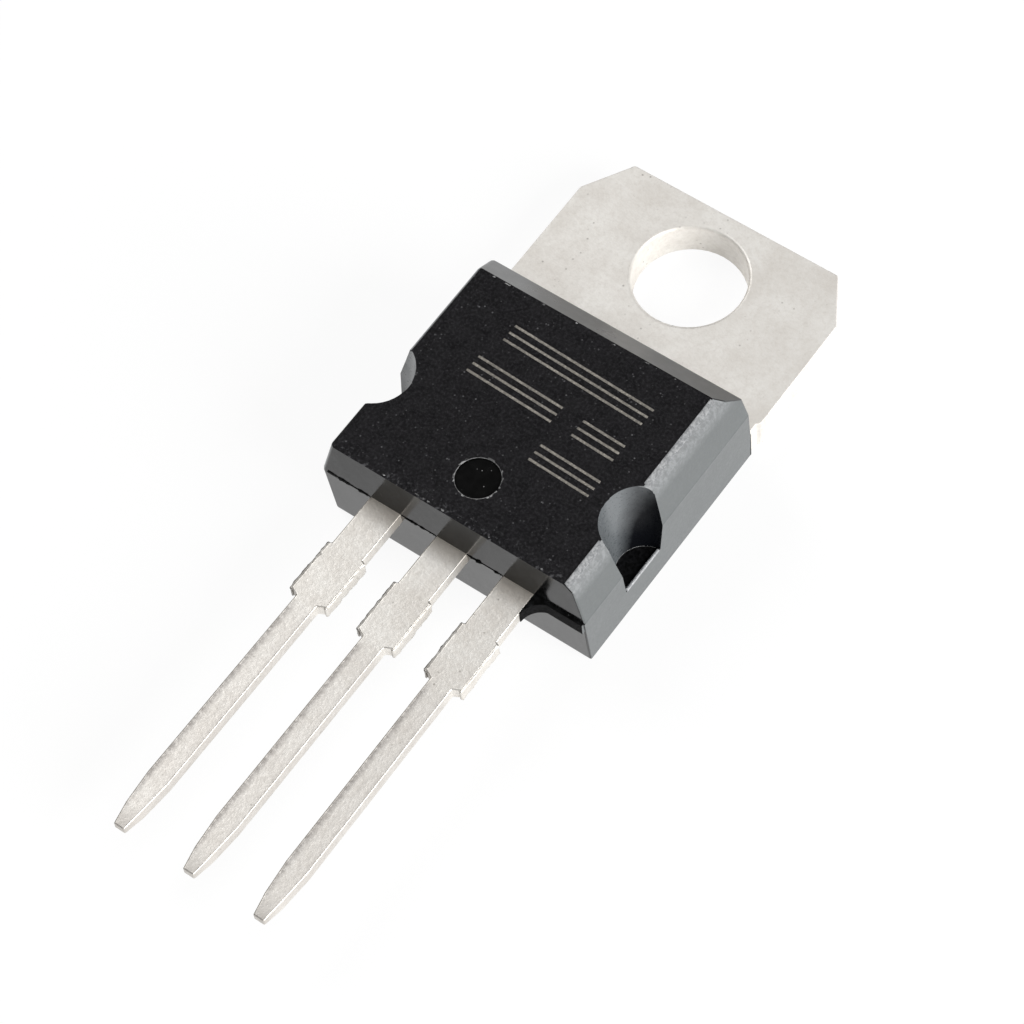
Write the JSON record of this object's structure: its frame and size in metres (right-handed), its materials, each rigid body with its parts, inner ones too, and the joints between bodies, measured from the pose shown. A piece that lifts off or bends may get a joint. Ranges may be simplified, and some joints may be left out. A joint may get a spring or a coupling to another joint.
{
  "type": "voltage regulator",
  "caption": "Linear voltage regulator in a flat tab package: black moulded body, drilled tin-plated heatsink tab, straight through-hole leads.",
  "frame": {"origin": "centre of the mounting hole, on the flat back of the tab", "axes": "+Z out of the marked face, +Y to the free end of the tab, leads towards -Y, input lead on the -X side"},
  "size_m": [0.01, 0.0289, 0.0044],
  "materials": {
    "moulded_resin": "fine matt marked face, smoother end and side walls",
    "tinned_copper": "matt tin plating on copper",
    "silicon": "polished silicon",
    "solder": "dull solder",
    "bond_wire_metal": "drawn wire"
  },
  "bodies": {
    "root": {"mould_body": "moulded_resin", "heatsink_tab": "tinned_copper", "input_lead": "tinned_copper", "output_lead": "tinned_copper", "silicon_die": "silicon", "die_attach_solder": "solder", "input_bond_wire": "bond_wire_metal", "output_bond_wire": "bond_wire_metal", "ground_bond_wire": "bond_wire_metal"}
  },
  "joints": []
}
